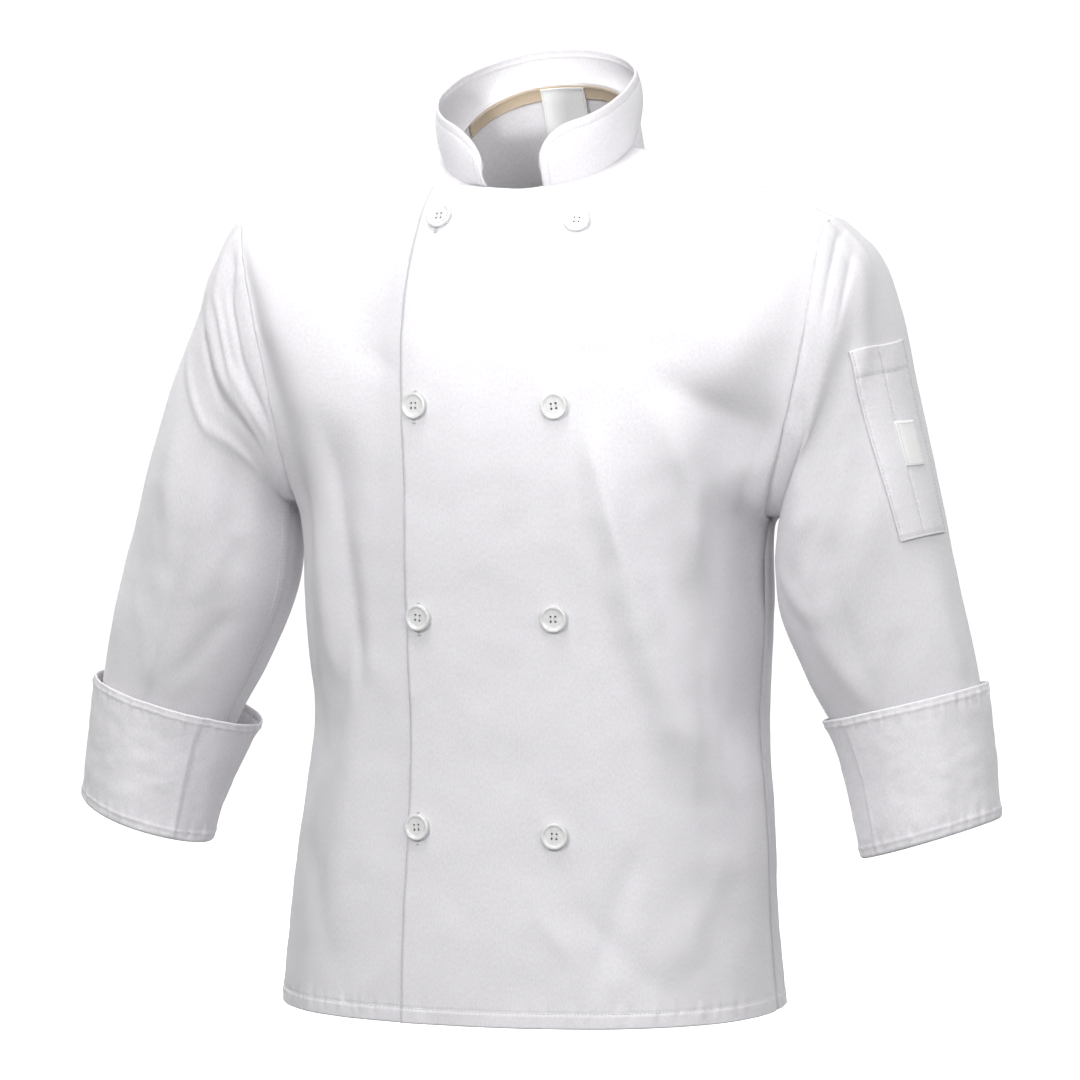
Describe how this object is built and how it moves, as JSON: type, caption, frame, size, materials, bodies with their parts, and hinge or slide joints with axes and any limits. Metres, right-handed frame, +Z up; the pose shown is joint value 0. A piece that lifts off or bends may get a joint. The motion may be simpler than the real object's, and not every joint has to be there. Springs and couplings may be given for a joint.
{
  "type": "chef jacket",
  "caption": "Double-breasted chef jacket in white twill, worn shape with no wearer: stand collar, turned-back cuffs, long set-in sleeves, sleeve pen pocket.",
  "frame": {"origin": "on the shoulder line, midway between the two neck points, where the wearer's shoulders carry the jacket", "axes": "+Z up, the jacket faces -Y, the wearer's left is +X; metres"},
  "size_m": [0.7805, 0.2527, 0.7679],
  "materials": {
    "white_twill": "matt twill, slightly cool white",
    "white_plastic": "glossy white button plastic",
    "beige_tape": "matt woven cotton tape, beige",
    "white_label": "smooth woven label, white, blank"
  },
  "bodies": {
    "root": {"front_left": "white_twill", "front_right": "white_twill", "back": "white_twill", "sleeve_left": "white_twill", "sleeve_right": "white_twill", "cuff_left": "white_twill", "cuff_right": "white_twill", "collar": "white_twill", "pen_pocket": "white_twill", "pocket_tab": "white_twill", "button_1": "white_plastic", "button_2": "white_plastic", "button_3": "white_plastic", "button_4": "white_plastic", "button_5": "white_plastic", "button_6": "white_plastic", "button_7": "white_plastic", "button_8": "white_plastic", "neck_tape": "beige_tape", "neck_label": "white_label"}
  },
  "joints": []
}
